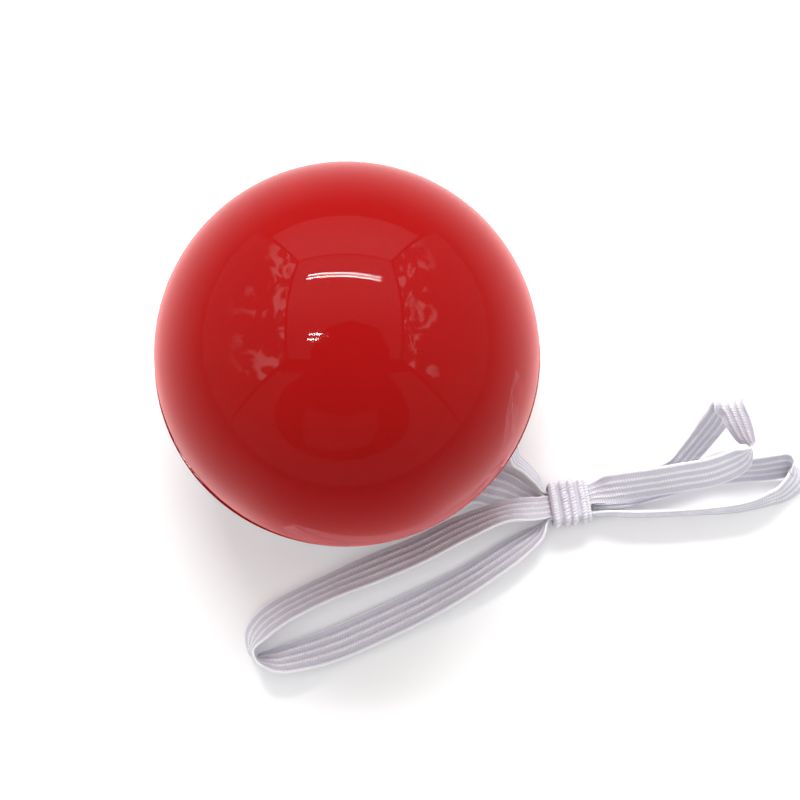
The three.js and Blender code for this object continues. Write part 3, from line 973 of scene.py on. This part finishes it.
def tent_faces(out):
    """The corners of the tent's ceiling and four walls, moved out by a length, each face by its name."""
    left, right = TENT_LEFT - out, TENT_RIGHT + out
    front, back = TENT_FRONT - out, TENT_BACK + out
    front_foot, back_foot = TENT_FRONT_FOOT - out, TENT_BACK_FOOT + out
    low, high = TENT_FOOT, TENT_HEIGHT + out
    top = [(left, front, high), (right, front, high), (right, back, high), (left, back, high)]
    foot = [
        (left, front_foot, low), (right, front_foot, low),
        (right, back_foot, low), (left, back_foot, low)]
    return {
        "ceiling": top,
        "left": [foot[0], foot[3], top[3], top[0]],
        "right": [foot[1], foot[2], top[2], top[1]],
        "back": [foot[3], foot[2], top[2], top[3]],
        "front": [foot[0], foot[1], top[1], top[0]],
    }


TENT_GLOW = {
    "ceiling": glow("ceiling", 0.16, 0.34, "Y", (0.0, 0.3)),
    "left": glow("left_wall", 0.1, 0.13, "Y", (-0.2, 0.4), crumple=1.1),
    "right": glow("right_wall", 0.09, 0.14, "Y", (-0.2, 0.4), crumple=1.1),
    "back": glow("back_wall", 0.24, 0.5, "Z", (0.05, 0.45)),
    "front": glow("front_wall", 0.1, 0.13, "Z", (0.0, 0.4)),
}
for side, corners in tent_faces(0.0).items():
    middle = np.mean(corners, axis=0)
    inset = [np.array(c) - TENT_SEAM * np.sign(np.array(c) - middle) for c in corners]
    stage_sheet("tent_" + side, inset, TENT_GLOW[side])
print("tent", TENT_RIGHT - TENT_LEFT, "m wide and", TENT_HEIGHT, "m high")

# %% [markdown]
# The walls stop short of each other. A dark shell just outside them shows through the gaps
# between them, as the tent's seams, which is quicker than drawing each seam.

# %% Seams
SHELL_GAP = 6 * MM
SHELL_GLOW = 0.02
dark = glow("dark", SHELL_GLOW, SHELL_GLOW)
for side, corners in tent_faces(SHELL_GAP).items():
    stage_sheet("shell_" + side, corners, dark)
print("dark shell", SHELL_GAP, "m outside the walls")

# %% [markdown]
# The sheet under the nose is brightest near it and fades away from it. The matt floor is
# lit the same everywhere, so a glowing sheet just over it stands in for it in reflections.

# %% Glowing sheet
SHEET_LIFT = 0.08 * MM
SHEET_HALF = 900 * MM
SHEET_REACH = 38 * MM
SHEET_FALL = 1.25
SHEET_MOST = 1.05
FRONT_DIM = (-0.98, -0.75, 0.25, 0.7)
BACK_RISE = (-0.4, 0.8, 0.0, 0.3)


def sheet_glow():
    """Bright near the ball, falling with distance, dim in front of it and brighter behind it."""
    material, nodes, links, emit, place, parts = glow_nodes("sheet_glow")
    reach = nodes.new("ShaderNodeVectorMath")
    reach.operation = "LENGTH"
    links.new(place.outputs["Object"], reach.inputs[0])
    near = joined(nodes, links, "DIVIDE", SHEET_REACH, reach.outputs["Value"])
    near = joined(nodes, links, "POWER", near, SHEET_FALL)
    near = joined(nodes, links, "MINIMUM", near, SHEET_MOST)
    facing = joined(nodes, links, "DIVIDE", parts.outputs["Y"], reach.outputs["Value"])
    share = faded(nodes, links, facing, *FRONT_DIM)
    share = joined(nodes, links, "ADD", share, faded(nodes, links, facing, *BACK_RISE))
    links.new(joined(nodes, links, "MULTIPLY", near, share), emit.inputs["Strength"])
    return material


stage_sheet("sheet_glow", square(SHEET_HALF, SHEET_LIFT), sheet_glow())
print("sheet glows", SHEET_MOST, "up to about", SHEET_REACH, "m from the ball's axis")

# %% [markdown]
# A mirror ball sends each picture point in one direction: the ray from the camera meets
# the ball and turns back about its normal there. With that worked out, lamps and shades
# can be put exactly where the ball shows them in the photograph.


# %% What a picture point mirrors
def mirrored(pixel):
    """The point of the ball under a pixel, and the direction that it mirrors."""
    ray = -view_back + view_right * (pixel[0] - PHOTO_SIDE / 2) / focal_pixels
    ray = unit(ray + view_up * (PHOTO_SIDE / 2 - pixel[1]) / focal_pixels)
    from_centre = camera_place - BALL_CENTRE
    b = from_centre @ ray
    reach = -b - math.sqrt(b * b - from_centre @ from_centre + BALL_RADIUS ** 2)
    point = camera_place + ray * reach
    normal = (point - BALL_CENTRE) / BALL_RADIUS
    return point, ray - 2 * (ray @ normal) * normal


def on_ceiling(pixel, height):
    """Where a level plane at a height is mirrored into a pixel."""
    point, direction = mirrored(pixel)
    return point + direction * (height - point[2]) / direction[2]


print("the ball's middle pixel mirrors", mirrored(BALL_PIXEL)[1].round(3))

# %% [markdown]
# The tent is lit by rows of small lamps on its ceiling, and each row has two staggered
# lines. Real lights would also light the floor, so glowing squares stand in for them. A
# row is given by the picture points of its first and last lamp and by its number of pairs.

# %% Ceiling lamps
LAMP_ROWS = {"lamps_long": ((308.5, 277), (380, 279), 29), "lamps_short": ((309, 337), (327, 336.5), 8)}
LAMP_DROP = 4 * MM
LAMP_HALF = 3.2 * MM
LAMP_STAGGER = 30 * MM
LAMP_SHIFT = 0.25
LAMP_GLOW = 140.0
lamp_glow = glow("lamp", LAMP_GLOW, LAMP_GLOW)

for row_name, (first, last, count) in LAMP_ROWS.items():
    start, end = (on_ceiling(pixel, TENT_HEIGHT - LAMP_DROP) for pixel in (first, last))
    points, faces = [], []
    for k in range(count):
        for side in (-1, 1):
            middle = start + (end - start) * (k + LAMP_SHIFT * side) / (count - 1)
            middle[1] += side * LAMP_STAGGER / 2
            faces.append(tuple(range(len(points), len(points) + 4)))
            points += [middle + np.array(corner) for corner in square(LAMP_HALF, 0.0)]
    stage_form(row_name, points, faces, lamp_glow)
    print(row_name, len(faces), "lamps")

# %% [markdown]
# The tent's opening shows on the ball as a dark form with a paler patch low in it. A hole
# in the front wall would be truer, but the form reaches from that wall over the ceiling.
# So each is a fan of faces that hangs inside the tent, where the ball mirrors its outline.

# %% Dark opening
OPENING_PIXELS = [
    (325.8, 328.2), (351.7, 320.5), (377.5, 328.2), (390.4, 351.5), (387.8, 372.2), (400.7, 390.2),
    (409.8, 410.9), (407.2, 431.6), (393, 447), (367.2, 457.4), (341.3, 461.3), (312.9, 456.1),
    (289.7, 444.5), (275.5, 426.4), (274.2, 408.3), (284.5, 387.7), (310.3, 369.6), (310.3, 351.5)]
PATCH_PIXELS = [
    (308, 404), (326, 388), (350, 379), (370, 381), (377, 400),
    (378, 428), (368, 446), (334, 450), (306, 446), (302, 424)]
OPENING_NEARER, OPENING_GLOW = 0.62, 0.015
PATCH_NEARER, PATCH_GLOW = 0.55, 0.085


def reflected_patch(name, pixels, nearer, strength):
    """A fan that the ball mirrors into the given pixels, at a share of the way to the tent."""
    shade = []
    for pixel in pixels:
        point, direction = mirrored(pixel)
        ceiling = (TENT_HEIGHT - point[2]) / direction[2]
        front = (TENT_FRONT - point[1]) / direction[1] if direction[1] < 0 else ceiling
        shade.append(point + direction * nearer * min(ceiling, front))
    fan = [(0, 1 + k, 1 + (k + 1) % len(pixels)) for k in range(len(pixels))]
    points = [np.mean(shade, axis=0), *shade]
    stage_form(name, points, fan, glow(name, strength, strength))
    print(name, len(fan), "faces")


reflected_patch("opening", OPENING_PIXELS, OPENING_NEARER, OPENING_GLOW)
reflected_patch("opening_patch", PATCH_PIXELS, PATCH_NEARER, PATCH_GLOW)
